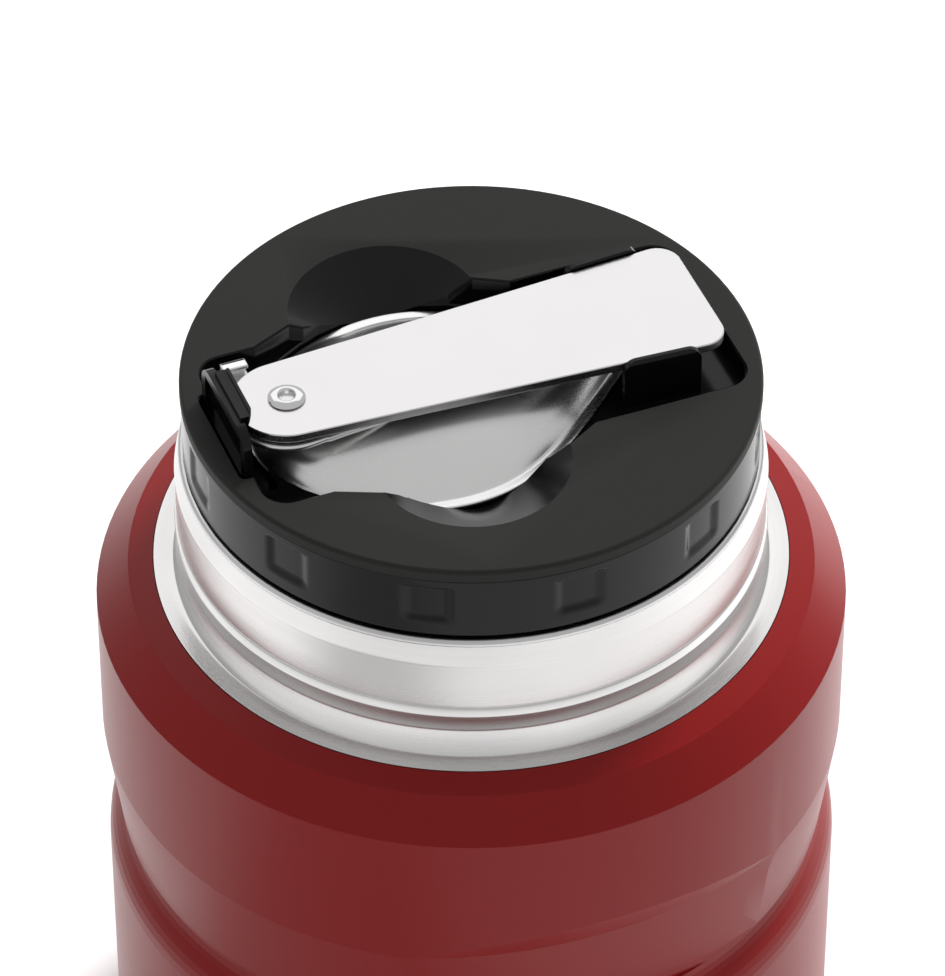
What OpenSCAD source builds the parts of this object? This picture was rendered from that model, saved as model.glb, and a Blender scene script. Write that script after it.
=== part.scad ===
// Vacuum-insulated food jar. Its screw stopper stows a folding spoon in a recess of the deck.
// Millimetres. The origin is the centre of the base and +Z is up. The stowed spoon's handle
// lies along X with its wide end at +X, and the flattened front panel faces -Y.

/* [Painted wall] */
// Height from the base to the top of the stopper's deck
jar_h = 120; // [115:1:140]
// Diameter of the collar, the widest part
collar_d = 94; // [93:0.5:98]
// Height of the sloping shoulder above the collar
shoulder_h = 4.7; // [3:0.1:6]
// Width of the thin land inside the shoulder
land_w = 3.15; // [2:0.05:4]
// Drop of the land from its inner to its outer edge
land_drop = 1; // [0.5:0.1:1.5]
// Height of the collar's straight wall
collar_h = 20; // [15:0.5:24]
// Height of the taper below the collar
taper_h = 13.5; // [10:0.5:16]
// How far the taper draws the wall in
taper_in = 1.7; // [1:0.1:2.2]
// Undercut below the taper's sharp lower edge
waist_in = 1; // [0.5:0.1:1.5]
// Height of the flare below the taper
waist_h = 8; // [6:0.5:11]
// Diameter of the lower wall
lower_d = 93.6; // [92.6:0.2:97]
// Rounding of the wall where it turns under the base
foot_r = 3; // [2:0.25:4]
// Thickness of the painted wall
shell_wall = 0.8; // [0.6:0.05:1]
// Radius of the flattened front panel
panel_r = 62; // [55:1:80]
// Half the angle that the front panel covers
panel_angle = 31; // [26:1:34]
// How far the panel's top edge rises in its middle
panel_rise = 4.2; // [3:0.1:6]

/* [Steel neck] */
// Width of the vacuum gap inside the neck, at the neck's step
neck_gap = 2.75; // [2.5:0.05:3.3]
// How much narrower the neck is at its rim
neck_taper = 0.5; // [0.2:0.1:0.8]
// Height of the upper band, from the rim down to the fine step
band_h = 3.5; // [2.5:0.1:5]
// Depth of the fine step under the upper band
step_in = 0.25; // [0.1:0.05:0.4]
// Height of the lower band, from the step down to the bead
lower_band_h = 5.1; // [4:0.1:6]
// How far the bead stands out of the neck
bead_out = 1.05; // [0.7:0.05:1.4]
// Height of the bead
bead_h = 1.8; // [1.4:0.1:2.2]
// Height of the cove and flare between the bead and the paint
cove_h = 7.7; // [6:0.1:9]
// How far the steel flares out from the neck to where it meets the paint
paint_flare = 3.1; // [2.6:0.05:3.8]

/* [Inner vessel] */
// Inner diameter of the mouth
mouth_d = 65; // [64:0.5:66]
// Depth of the straight mouth above the seal's seat
mouth_depth = 16; // [15:0.5:20]
// How far the seal's seat narrows the mouth
seat_in = 1.6; // [1.2:0.1:2]
// Width of the vacuum gap beside the food chamber, at its narrowest
vacuum_gap = 4.4; // [3.9:0.1:6]
// Rounding of the chamber's bottom
chamber_r = 9; // [6:0.5:14]
// Thickness of the inner vessel
liner_wall = 0.6; // [0.5:0.05:0.8]
// Thickness of the rolled rim
rim_t = 1.2; // [1:0.05:1.6]
// Height of the vacuum space under the inner vessel
base_space = 5; // [4:0.25:8]
// Thickness of the base plate
base_t = 0.8; // [0.6:0.05:1]
// Width of the foot ring that touches the table
foot_ring_w = 6; // [4:0.5:9]
// Height of the recess inside the foot ring
base_recess = 2; // [1.5:0.1:3]
// Thickness of the reflective foil
foil_t = 0.2; // [0.15:0.05:0.3]

/* [Stopper] */
// How far the deck's edge stands back from the neck
deck_back = 1; // [0.75:0.05:1.35]
// Thickness of the deck
deck_t = 1.6; // [1.2:0.1:2]
// Height of the whole stopper above the rim
stopper_h = 10.7; // [10.4:0.1:12]
// How far the skirt stands back from the deck's edge
skirt_back = 0.15; // [0.1:0.05:0.3]
// Thickness of the skirt
skirt_wall = 1.5; // [1.3:0.05:1.6]
// Number of grip recesses round the skirt
grip_count = 12; // [8:2:16]
// Width of a grip recess
grip_w = 6.9; // [5:0.1:8]
// Height of a grip recess
grip_h = 6; // [4:0.1:6.4]
// Depth of a grip recess
grip_depth = 0.75; // [0.5:0.05:0.9]
// How far the grip recesses start below the deck's top
grip_drop = 2.9; // [2.4:0.1:3.4]
// Radial room between plug and mouth that the screw thread takes
thread_room = 1.5; // [1.2:0.1:1.8]
// Wall of the plug
plug_wall = 1.6; // [1.2:0.1:2]
// Thickness of the plug's bottom cap
plug_cap_t = 1.6; // [1.2:0.1:2]
// Height of the seal ring
seal_h = 2.5; // [2:0.1:3]
// Radial thickness of the seal ring
seal_t = 2.65; // [2.4:0.05:3]

/* [Spoon recess] */
// Width of the slot in the deck
slot_w = 27.8; // [27:0.1:28.6]
// Corner radius of the slot
slot_r = 3.2; // [2:0.1:4]
// Room between the end of the handle and the slot's far end
slot_end_gap = 1.3; // [0.8:0.1:1.6]
// Width of the deck between the slot's far end and the deck's edge
end_margin = 4.05; // [3.7:0.05:4.7]
// Width of the deck between the latch's bay and the deck's edge
latch_margin = 3.05; // [2.8:0.05:3.4]
// Depth of the bowl's pocket below the deck's top
tray_depth = 4.8; // [4.6:0.1:5.4]
// Depth of the shelf round the pocket
shelf_depth = 3.1; // [2.6:0.1:3.6]
// Thickness of the tray's walls and floor
tray_wall = 1.3; // [1:0.1:1.3]
// Radius of a finger scoop at the deck
scoop_r = 12.1; // [11.5:0.1:12.3]
// Radius of a finger scoop at its bottom
scoop_floor_r = 3.6; // [2:0.1:5]
// Distance of a finger scoop's centre from the handle's axis
scoop_y = 14.6; // [14:0.1:15]
// Distance of the scoops' centres from the rivet, along the handle
scoop_from_rivet = 18.3; // [17.5:0.1:19]
// Half-width of the recess where the lead-ins meet the scoops
lead_y = 16.2; // [15.6:0.1:16.8]
// Length of the slanted lead-in on the latch's side of a scoop
lead_back = 5.3; // [4:0.1:6]
// Length of the slanted lead-in on a scoop's other side
lead_front = 4.1; // [3:0.1:5]
// Air round the bowl in its pocket
pocket_gap = 0.4; // [0.3:0.05:0.6]
// Room in the pocket for the bowl's way along the handle as the spoon is lifted out
pocket_slide = 0.8; // [0.7:0.1:1.5]
// Thickness of a side clip
clip_t = 0.9; // [0.8:0.1:1.3]
// Length of a side clip along the handle
clip_l = 9.9; // [7:0.1:10.5]
// Distance from the rivet to the near end of a side clip
clip_from_rivet = 40.5; // [39:0.1:41]
// How far a side clip stands above the handle
clip_over = 0.6; // [0.4:0.1:1.2]

/* [Spoon] */
// Radius of the handle's round end
handle_r = 6.7; // [6.2:0.1:6.8]
// Width of the handle at its wide end
handle_w = 19.2; // [18:0.1:19.6]
// Corner radius of the handle's wide end
handle_corner_r = 3; // [2:0.1:4]
// Thickness of the handle
handle_t = 1.2; // [0.9:0.1:1.5]
// Length of the bowl's rim
bowl_l = 48.4; // [47:0.1:49]
// Width control of the bowl's egg-shaped rim
bowl_w = 35.6; // [34:0.1:36]
// Height of the bowl
bowl_h = 5.5; // [5.2:0.1:5.8]
// Distance from the rivet to the middle of the bowl
bowl_from_rivet = 19.9; // [19:0.1:20.5]
// Thickness of the bowl's sheet
bowl_t = 0.8; // [0.6:0.05:1]
// Radius of the stem's round end under the handle
stem_r = 5.8; // [5:0.1:6.2]
// Thickness of the stem
stem_t = 0.9; // [0.7:0.05:1.1]
// How far the stem's top stands above the bowl's back
stem_rise = 1; // [0.8:0.1:1.3]
// Thickness of the friction washer
washer_t = 0.25; // [0.2:0.05:0.4]
// Diameter of the rivet's shank
rivet_d = 3.2; // [2.8:0.1:3.6]
// Diameter of the rivet's head
rivet_head_d = 4.6; // [4.4:0.1:5.4]
// Height of the rivet's head
rivet_head_h = 0.9; // [0.6:0.1:1.2]

/* [Spoon latch] */
// Width of the latch's tongue
latch_w = 15.1; // [14:0.1:16]
// Thickness of the latch's tongue
latch_t = 1.1; // [1:0.05:1.2]
// How far the tongue stands above the handle
latch_over = 2.5; // [2:0.1:3]
// Rounding of the tongue's upper corners
latch_corner_r = 2.8; // [1.5:0.1:3.5]
// Width of the latch's nose
nose_w = 9.1; // [6:0.1:10]
// How far the nose reaches towards the handle
nose_l = 1.2; // [1:0.05:1.3]
// Radius of the latch's root, on which it bends
latch_root_r = 0.8; // [0.7:0.05:0.9]

/* [Clearances] */
// Air between the plug's flange and the rim it comes down on
rim_gap = 0.3; // [0.2:0.05:0.4]
// Air between curved faces that move past each other
move_gap = 0.3; // [0.25:0.05:0.4]
// Radial clearance of a running fit
running_gap = 0.05; // [0.02:0.01:0.08]
// Air between the handle's end and the latch's tongue
latch_gap = 0.4; // [0.3:0.05:0.6]
// Air that the latch needs behind it to bend outwards
latch_bend_room = 0.5; // [0.5:0.05:0.8]
// Air between each edge of the latch's tongue and its bay
latch_side_gap = 0.4; // [0.3:0.05:1]
// Air between a side clip and the handle's edge
clip_gap = 0.15; // [0.1:0.05:0.4]

/* [Hidden] */
$fn = 96;
over = 1;              // how far a cutting tool runs past what it cuts
far = 200;             // larger than the whole jar

// Radii of the painted wall
collar_r = collar_d / 2;
taper_r = collar_r - taper_in;
lower_r = lower_d / 2;
foot_hole_r = lower_r - foot_r;

// Levels, from the base up
deck_z = jar_h;
skirt_z = deck_z - stopper_h;
rim_z = skirt_z - rim_gap;
step_z = rim_z - band_h;
bead_z = step_z - lower_band_h;
cove_z = bead_z - bead_h;
paint_z = cove_z - cove_h;
land_z = paint_z - land_drop;
collar_z = land_z - shoulder_h;
crease_z = collar_z - collar_h;
taper_z = crease_z - taper_h;
waist_z = taper_z - waist_h;
seat_z = rim_z - mouth_depth;

// Steel neck, from the mouth outwards
mouth_r = mouth_d / 2;
neck_r = mouth_r + liner_wall + neck_gap + shell_wall;
paint_r = neck_r + paint_flare;
rim_r = neck_r - neck_taper;
lap_h = 3;             // how far the neck's skirt reaches down inside the painted wall

// Inner vessel
seat_r = mouth_r - seat_in;
chamber_top_r = taper_r - waist_in - shell_wall - vacuum_gap - liner_wall;
chamber_drop = 9;      // height over which the vessel widens from the seat to the chamber
liner_z = base_recess + base_t + base_space;

// Stopper
deck_r = neck_r - deck_back;
skirt_r = deck_r - skirt_back;
skirt_in_r = skirt_r - skirt_wall;
skirt_top_z = deck_z - deck_t;
plug_r = mouth_r - thread_room;
seal_r = mouth_r - move_gap;
seal_in_r = seal_r - seal_t;
groove_r = seal_in_r - running_gap;
seal_z = seat_z - move_gap;
seal_axial_gap = 0.1;
plug_in_r = groove_r - plug_wall;
plug_foot_r = seat_r - 2 * move_gap;
plug_foot_h = 1;
plug_z = seal_z - seal_axial_gap - plug_foot_h;
cap_r = plug_foot_r - plug_wall;
flange_t = 1.6;
foam_gap = 0.2;

// Recess and tray
floor_z = deck_z - tray_depth;
shelf_z = deck_z - shelf_depth;
tray_z = floor_z - tray_wall;
tray_r = skirt_in_r - 0.1;
plug_top_z = tray_z - 0.1;
slot_y = slot_w / 2;
rivet_x = latch_margin + latch_bend_room + latch_t + latch_gap + handle_r - deck_r;
handle_end_x = deck_r - end_margin - slot_end_gap;
handle_l = handle_end_x - rivet_x;
tip_x = rivet_x - handle_r;
latch_in_x = tip_x - latch_gap;
latch_out_x = latch_in_x - latch_t;
slot_x0 = latch_in_x - 0.1;
slot_x1 = handle_end_x + slot_end_gap;
scoop_x = rivet_x + scoop_from_rivet;
lead_x = [scoop_x - scoop_r - lead_back, scoop_x - scoop_r, scoop_x + scoop_r, scoop_x + scoop_r + lead_front];

// Spoon, from the tray's floor up
bowl_z = floor_z + move_gap;
bowl_top_z = bowl_z + bowl_h;
stem_top_z = bowl_top_z + stem_rise;
handle_z = stem_top_z + washer_t + running_gap;
handle_top_z = handle_z + handle_t;
bowl_x = rivet_x + bowl_from_rivet;
bowl_a = bowl_l / 2;
bowl_b = bowl_w / 2;
bowl_point = 0.2;      // above 0 the rim's flanks are flatter than an ellipse's
bowl_tip = 0.53;       // how much flatter they are towards the tip than towards the rivet
bowl_lean = 0.17;      // how much the bowl narrows towards its tip
bowl_trim = 0.31;      // how much it narrows towards both ends
bowl_full = 0.75;      // 1 makes the bowl's sides parabolas, 0.5 makes them ellipses
handle_half = handle_w / 2;
rivet_r = rivet_d / 2;
hole_r = rivet_r + running_gap;

// Outline of the handle: from the rivet to the middle of a corner, and the way its edge faces
handle_reach = [handle_l - handle_corner_r, handle_half - handle_corner_r];
handle_lean = atan2(handle_reach[1], handle_reach[0]) + acos((handle_r - handle_corner_r) / norm(handle_reach));
clip_z = handle_top_z + clip_over;

// Spoon latch
latch_axis_x = latch_in_x - latch_t / 2;
latch_axis_z = floor_z + latch_root_r + 0.2;
latch_top_z = handle_top_z + latch_over;
bay_w = latch_w + 2 * latch_side_gap;
bay_x = latch_out_x - latch_bend_room;
nose_slope = 2.6;      // rise of the nose's underside for each millimetre along X

// Points of a cubic curve through p0 and p3, pulled towards p1 and p2
function curve(p0, p1, p2, p3, steps = 8) = [for (i = [0:steps]) let (t = i / steps, s = 1 - t)
    s * s * s * p0 + 3 * s * s * t * p1 + 3 * s * t * t * p2 + t * t * t * p3];

// Points of a round corner from angle a0 to a1
function corner(centre, r, a0, a1, steps = 6) = [for (i = [0:steps]) let (a = a0 + (a1 - a0) * i / steps)
    centre + r * [cos(a), sin(a)]];

// A ring or disc between two radii and two levels
module ring(r_out, r_in, z0, z1) {
    difference() {
        translate([0, 0, z0]) cylinder(r = r_out, h = z1 - z0);
        if (r_in > 0) translate([0, 0, z0 - over]) cylinder(r = r_in, h = z1 - z0 + 2 * over);
    }
}

// ---- Painted wall -------------------------------------------------------------------------

// Round form of the painted wall, drawn in by inset
module wall_round(inset) {
    rotate_extrude() polygon(concat(
        [[0, paint_z + (inset > 0 ? over : 0)], [paint_r - inset, paint_z + (inset > 0 ? over : 0)],
         [paint_r - inset, paint_z - inset], [paint_r + land_w - inset, land_z - inset],
         [collar_r - inset, collar_z - inset / 2], [collar_r - inset, crease_z], [taper_r - inset, taper_z]],
        curve([taper_r - waist_in - inset, taper_z - waist_in], [taper_r - waist_in - inset, taper_z - waist_h / 2],
            [lower_r - inset, waist_z + waist_h / 2], [lower_r - inset, waist_z]),
        corner([foot_hole_r, foot_r], foot_r - inset, 0, -90),
        inset > 0 ? [[foot_hole_r, -over], [0, -over]] : [[0, 0]]));
}

// Flatter form that cuts the front panel: a wide round body set back from the jar's axis
module wall_panel(inset) {
    front = collar_r * cos(panel_angle) + panel_r - sqrt(pow(panel_r, 2) - pow(collar_r * sin(panel_angle), 2));
    clear_r = panel_r + collar_r;
    translate([0, panel_r - front, 0]) rotate_extrude($fn = 180) polygon([
        [0, -2 * over], [clear_r, -2 * over], [clear_r, waist_z - waist_h], [panel_r - taper_in - inset, taper_z - waist_in],
        [panel_r - taper_in - inset, taper_z], [panel_r - inset, crease_z],
        [panel_r - inset + 3 * (collar_r - front), crease_z + 3 * panel_rise],
        [clear_r, crease_z + 3 * panel_rise], [clear_r, far], [0, far]]);
}

module body_shell() {
    color("firebrick") difference() {
        intersection() { wall_round(0); wall_panel(0); }
        intersection() { wall_round(shell_wall); wall_panel(shell_wall); }
        translate([0, 0, -over]) cylinder(r = foot_hole_r, h = foot_r + over);
        translate([0, 0, land_z - lap_h]) cylinder(r = paint_r, h = far);
    }
}

// ---- Steel neck and inner vessel ----------------------------------------------------------

module neck_ring() {
    bead_r = neck_r - step_in;
    lap_r = paint_r - 0.1;
    wall = shell_wall;
    outline = concat(
        [[rim_r, rim_z - rim_t], [neck_r, step_z], [neck_r - step_in, step_z - step_in], [bead_r, bead_z]],
        curve([bead_r, bead_z], [bead_r + bead_out, bead_z], [bead_r + bead_out, bead_z - bead_h / 2],
            [bead_r + bead_out, bead_z - bead_h / 2], 5),
        curve([bead_r + bead_out, bead_z - bead_h / 2], [bead_r + bead_out, cove_z], [bead_r, cove_z],
            [bead_r, cove_z], 5),
        curve([bead_r, cove_z], [bead_r - 0.4, cove_z - cove_h * 0.5], [lap_r - 0.2, cove_z - cove_h * 0.5],
            [lap_r, paint_z]),
        [[lap_r, paint_z - lap_h], [lap_r - wall, paint_z - lap_h]],
        curve([lap_r - wall, paint_z], [lap_r - wall - 0.2, cove_z - cove_h * 0.5 - wall / 2],
            [bead_r - wall - 0.4, cove_z - cove_h * 0.5], [bead_r - wall, cove_z]),
        [[bead_r - wall, step_z - step_in], [rim_r - wall, rim_z - rim_t]]);
    color("silver") rotate_extrude() polygon(outline);
}

module inner_liner() {
    lip = rim_t / 2;
    shoulder_z = seat_z - seat_in - chamber_drop;
    bend = chamber_r - liner_wall;
    inside = concat([[0, liner_z + liner_wall]],
        corner([chamber_top_r - chamber_r, liner_z + liner_wall + chamber_r], chamber_r, -90, 0),
        curve([chamber_top_r, shoulder_z], [chamber_top_r, shoulder_z + chamber_drop * 0.7],
            [seat_r, seat_z - seat_in - chamber_drop * 0.5], [seat_r, seat_z - seat_in]),
        [[mouth_r, seat_z], [mouth_r, rim_z + over], [0, rim_z + over]]);
    outside = concat([[0, liner_z]],
        corner([chamber_top_r - chamber_r, liner_z + chamber_r + liner_wall], chamber_r + liner_wall, -90, 0),
        curve([chamber_top_r + liner_wall, shoulder_z], [chamber_top_r + liner_wall, shoulder_z + chamber_drop * 0.75],
            [seat_r + liner_wall, seat_z - seat_in - chamber_drop * 0.4], [seat_r + liner_wall, seat_z - seat_in]),
        [[mouth_r + liner_wall, seat_z - liner_wall / 2], [mouth_r + liner_wall, rim_z - lip], [0, rim_z - lip]]);
    color("silver") rotate_extrude() difference() {
        union() {
            polygon(outside);
            translate([0, rim_z - rim_t]) square([rim_r - lip, rim_t]);
            translate([rim_r - lip, rim_z - lip]) circle(r = lip, $fn = 32);
        }
        polygon(inside);
        translate([mouth_r - over, rim_z - lip]) square([over + lip, lip + over]);
    }
    color("silver") rotate_extrude() intersection() {
        translate([mouth_r + lip, rim_z - lip]) circle(r = lip, $fn = 32);
        translate([mouth_r, rim_z - lip]) square([lip, lip]);
    }
}

module outer_base() {
    plate_r = foot_hole_r - 0.1;
    inner_r = plate_r - foot_ring_w;
    dimple_r = 6;
    port_r = 1.5;
    color("silver") difference() {
        rotate_extrude() polygon([[0, base_recess], [inner_r - base_recess, base_recess], [inner_r, 0], [plate_r, 0],
            [plate_r, foot_r + base_t], [plate_r - base_t, foot_r + base_t], [plate_r - base_t, base_t],
            [inner_r + base_t / 2, base_t], [inner_r - base_recess + base_t / 2, base_recess + base_t],
            [dimple_r + base_t, base_recess + base_t], [dimple_r + base_t, base_recess + 2 * base_t],
            [0, base_recess + 2 * base_t]]);
        translate([0, 0, -over]) cylinder(r = dimple_r, h = over + base_recess + base_t);
        cylinder(r = port_r, h = far / 10);
    }
}

module vacuum_seal() {
    seal_disc_r = 4;
    color("dimgray") ring(seal_disc_r, 0, base_recess + base_t / 4, base_recess + base_t);
}

module getter() {
    getter_r = 5;
    getter_h = 1.8;
    getter_x = 18;
    color("gray") translate([getter_x, 0, liner_z - 0.1 - getter_h]) cylinder(r = getter_r, h = getter_h);
}

module foil_wrap() {
    foil_r = chamber_top_r + liner_wall + 0.1;
    color("lightgray") ring(foil_r + foil_t, foil_r, liner_z + chamber_r + liner_wall,
        seat_z - seat_in - chamber_drop - 0.5);
}

// ---- Stopper ------------------------------------------------------------------------------

// A rectangle from x0 to x1 and half as wide as half_w, with round corners
module round_slot(x0, x1, half_w, r) {
    translate([x0 + r, -half_w]) square([x1 - x0 - 2 * r, 2 * half_w]);
    translate([x0, -half_w + r]) square([x1 - x0, 2 * (half_w - r)]);
    for (x = [x0 + r, x1 - r], side = [-1, 1])
        translate([x, side * (half_w - r)]) circle(r = r, $fn = 32);
}

// Slot with its lead-ins to the scoops, grown by g
module slot_outline(g) {
    round_slot(slot_x0 - g, slot_x1 + g, slot_y + g, slot_r + g);
    polygon([[lead_x[0] - g / 2, slot_y + g], [lead_x[1] - g / 2, lead_y + g], [lead_x[2] + g / 2, lead_y + g],
        [lead_x[3] + g / 2, slot_y + g], [lead_x[3] + g / 2, -slot_y - g], [lead_x[2] + g / 2, -lead_y - g],
        [lead_x[1] - g / 2, -lead_y - g], [lead_x[0] - g / 2, -slot_y - g]]);
}

// The bowl's outline grown by g, drawn out along the handle by the pocket's room
module pocket_outline(g) {
    translate([bowl_x, 0]) polygon([for (half = [0, 1], i = [0:24]) let (a = -90 + 180 * half + 7.5 * i)
        egg(a, -g) + [half == 0 ? pocket_slide : 0, 0]]);
}

// The recess as a solid, grown by g, with its floor at z
module recess(g, z) {
    translate([0, 0, z]) linear_extrude(deck_z - z + over) pocket_outline(pocket_gap + g);
    translate([0, 0, z + shelf_z - floor_z]) linear_extrude(deck_z - z + floor_z - shelf_z + over) slot_outline(g);
    for (side = [-1, 1]) translate([scoop_x, side * scoop_y, z]) {
        cylinder(r1 = scoop_floor_r + g, r2 = scoop_r + g, h = deck_z - z);
        translate([0, 0, deck_z - z]) cylinder(r = scoop_r + g, h = over);
    }
}

// The bay that the latch stands and bends in
module latch_bay(x, z) {
    bay_r = 0.7;
    translate([0, 0, z]) linear_extrude(far - z) round_slot(x, slot_x0 + slot_r, bay_w / 2, bay_r);
}

module stopper_deck() {
    chamfer = 0.35;
    color("dimgray") difference() {
        rotate_extrude() polygon([[0, skirt_top_z], [deck_r, skirt_top_z], [deck_r, deck_z - chamfer],
            [deck_r - chamfer, deck_z], [0, deck_z]]);
        recess(0, floor_z);
        latch_bay(bay_x, floor_z);
    }
}

module stopper_skirt() {
    color("black") difference() {
        ring(skirt_r, skirt_in_r, skirt_z, skirt_top_z);
        for (i = [0:grip_count - 1]) rotate(i * 360 / grip_count - 90)
            translate([skirt_r - grip_depth, -grip_w / 2, deck_z - grip_drop - grip_h]) cube([over + grip_depth, grip_w, grip_h]);
    }
}

// One side clip: a tongue along the handle's edge with a bevelled top and round corners
module side_clip(side) {
    bevel = 0.4;
    round_r = 1.6;
    foot_z = shelf_z - 0.2;
    tall = clip_z - foot_z;
    mirror([0, side < 0 ? 1 : 0, 0]) translate([rivet_x, 0, foot_z]) rotate(handle_lean - 90)
    translate([clip_from_rivet, handle_r + clip_gap, 0]) intersection() {
        rotate([90, 0, 90]) linear_extrude(clip_l) polygon([[0, 0], [clip_t, 0], [clip_t, tall - bevel],
            [clip_t - bevel, tall], [0, tall]]);
        translate([0, clip_t + over, 0]) rotate([90, 0, 0]) linear_extrude(clip_t + 2 * over) polygon(concat(
            [[0, 0], [clip_l, 0]], corner([clip_l - round_r, tall - round_r], round_r, 0, 90),
            corner([round_r, tall - round_r], round_r, 90, 180)));
    }
}

module spoon_tray() {
    cradle_w = latch_w - 0.6;
    color("black") difference() {
        union() {
            difference() {
                intersection() {
                    union() {
                        recess(tray_wall, tray_z);
                        translate([slot_x0 - 4, -bay_w / 2, tray_z]) cube([8, bay_w, tray_wall]);
                    }
                    translate([0, 0, tray_z]) cylinder(r = tray_r, h = skirt_top_z - tray_z);
                }
                recess(0, floor_z);
                latch_bay(-far, floor_z);
            }
            for (side = [-1, 1]) side_clip(side);
            translate([latch_axis_x - latch_root_r - 0.4, -cradle_w / 2, floor_z - 0.2])
                cube([2 * latch_root_r + 0.8, cradle_w, latch_axis_z - floor_z + 0.2]);
        }
        translate([latch_axis_x, 0, latch_axis_z]) rotate([90, 0, 0])
            cylinder(r = latch_root_r + running_gap, h = latch_w, center = true);
    }
}

module stopper_plug() {
    step_up = 2.5;
    color("gray") rotate_extrude() polygon([
        [cap_r, plug_z], [plug_foot_r, plug_z], [plug_foot_r, plug_z + plug_foot_h], [groove_r, plug_z + plug_foot_h],
        [groove_r, seal_z + seal_h + seal_axial_gap], [plug_r, seal_z + seal_h + seal_axial_gap], [plug_r, skirt_z],
        [skirt_in_r - 0.1, skirt_z], [skirt_in_r - 0.1, skirt_z + flange_t], [plug_r, skirt_z + flange_t],
        [plug_r, plug_top_z], [plug_r - plug_wall, plug_top_z], [plug_r - plug_wall, seal_z + seal_h + step_up],
        [plug_in_r, seal_z + seal_h], [plug_in_r, plug_z + plug_cap_t], [cap_r, plug_z + plug_cap_t]]);
}

module plug_cap() {
    color("gray") ring(cap_r - 0.05, 0, plug_z, plug_z + plug_cap_t);
}

module plug_foam() {
    color("khaki") ring(plug_in_r - foam_gap, 0, plug_z + plug_cap_t + foam_gap, plug_top_z - foam_gap);
}

module mouth_seal() {
    bevel = 0.9;
    color("lightgray") rotate_extrude() polygon([[seal_in_r, seal_z], [seal_r - bevel, seal_z], [seal_r, seal_z + bevel],
        [seal_r, seal_z + seal_h - bevel / 2], [seal_r - bevel / 2, seal_z + seal_h], [seal_in_r, seal_z + seal_h]]);
}

// ---- Spoon latch --------------------------------------------------------------------------

module spoon_latch() {
    tongue_h = latch_top_z - latch_axis_z;
    top_r = latch_corner_r;
    rib = 1.3;
    nose_r = 0.8;
    dish = latch_t / 2;
    dish_z = deck_z - 1;
    color("black") difference() {
        union() {
            translate([latch_axis_x, 0, latch_axis_z]) rotate([90, 0, 0])
                cylinder(r = latch_root_r, h = latch_w - 1, center = true);
            translate([latch_out_x, 0, latch_axis_z]) rotate([90, 0, 90]) linear_extrude(latch_t) {
                translate([-latch_w / 2, 0]) square([latch_w, tongue_h - top_r]);
                translate([-latch_w / 2 + top_r, 0]) square([latch_w - 2 * top_r, tongue_h]);
                for (side = [-1, 1]) translate([side * (latch_w / 2 - top_r), tongue_h - top_r]) circle(r = top_r, $fn = 32);
            }
            intersection() {
                translate([0, nose_w / 2, 0]) rotate([90, 0, 0]) linear_extrude(nose_w) polygon([
                    [latch_in_x - latch_t / 3, handle_top_z - 0.1], [latch_in_x, handle_top_z - 0.1],
                    [latch_in_x + nose_l, handle_top_z - 0.1 + nose_l * nose_slope],
                    [latch_in_x + nose_l, latch_top_z + 0.5 + nose_l * nose_slope - 2.5],
                    [latch_in_x + nose_l * 0.7, latch_top_z + 0.5], [latch_in_x - latch_t / 3, latch_top_z + 0.5]]);
                translate([0, 0, handle_z]) linear_extrude(far / 10)
                    round_slot(latch_in_x - 3 * latch_t, latch_in_x + nose_l, nose_w / 2, nose_r);
            }
        }
        translate([latch_out_x - over, -latch_w / 2 + rib, dish_z]) cube([over + dish, latch_w - 2 * rib, latch_top_z - rib - dish_z]);
    }
}

// ---- Spoon --------------------------------------------------------------------------------

// A point of the bowl's egg-shaped rim, drawn in by inset
function egg(a, inset) = let (c = cos(a), s = sin(a)) [(bowl_a - inset) * c, (bowl_b - inset) * sign(s)
    * pow(abs(s), 1 + (bowl_point + bowl_tip * c) * abs(s)) * (1 - bowl_lean * c - bowl_trim * c * c)];

// Height of the bowl's back at a share rho of the way from its middle to its rim
function bowl_rise(rho, h) = h * pow(max(0, 1 - rho * rho), bowl_full);

// Rings of points over the bowl's back, drawn in by inset, then the point at its middle
function bowl_skin(inset, h, around, rings) = concat(
    [for (j = [0:rings - 1], i = [0:around - 1]) let (rho = cos(90 * j / rings), p = egg(360 * i / around, inset))
        [p[0] * rho, p[1] * rho, bowl_rise(rho, h)]], [[0, 0, h]]);

// The bowl as one closed sheet
module bowl_sheet() {
    around = 48;
    rings = 10;
    inner = around * rings + 1;
    faces = concat(
        [for (j = [0:rings - 2], i = [0:around - 1]) let (k = (i + 1) % around)
            [j * around + i, (j + 1) * around + i, (j + 1) * around + k, j * around + k]],
        [for (i = [0:around - 1]) [(rings - 1) * around + i, inner - 1, (rings - 1) * around + (i + 1) % around]],
        [for (j = [0:rings - 2], i = [0:around - 1]) let (k = (i + 1) % around)
            [inner + j * around + i, inner + j * around + k, inner + (j + 1) * around + k, inner + (j + 1) * around + i]],
        [for (i = [0:around - 1]) [inner + (rings - 1) * around + i, inner + (rings - 1) * around + (i + 1) % around,
            2 * inner - 1]],
        [for (i = [0:around - 1]) let (k = (i + 1) % around) [i, k, inner + k, inner + i]]);
    translate([bowl_x, 0, bowl_z]) polyhedron(concat(bowl_skin(0, bowl_h, around, rings),
        bowl_skin(bowl_t, bowl_h - bowl_t, around, rings)), faces, convexity = 4);
}

// Plan of the stem: a round end under the handle that narrows onto the bowl
module stem_plan() {
    end_x = bowl_x - 3;
    end_half = stem_r * 0.6;
    translate([rivet_x, 0]) circle(r = stem_r);
    polygon([[rivet_x, stem_r], [end_x, end_half], [end_x, -end_half], [rivet_x, -stem_r]]);
}

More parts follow.
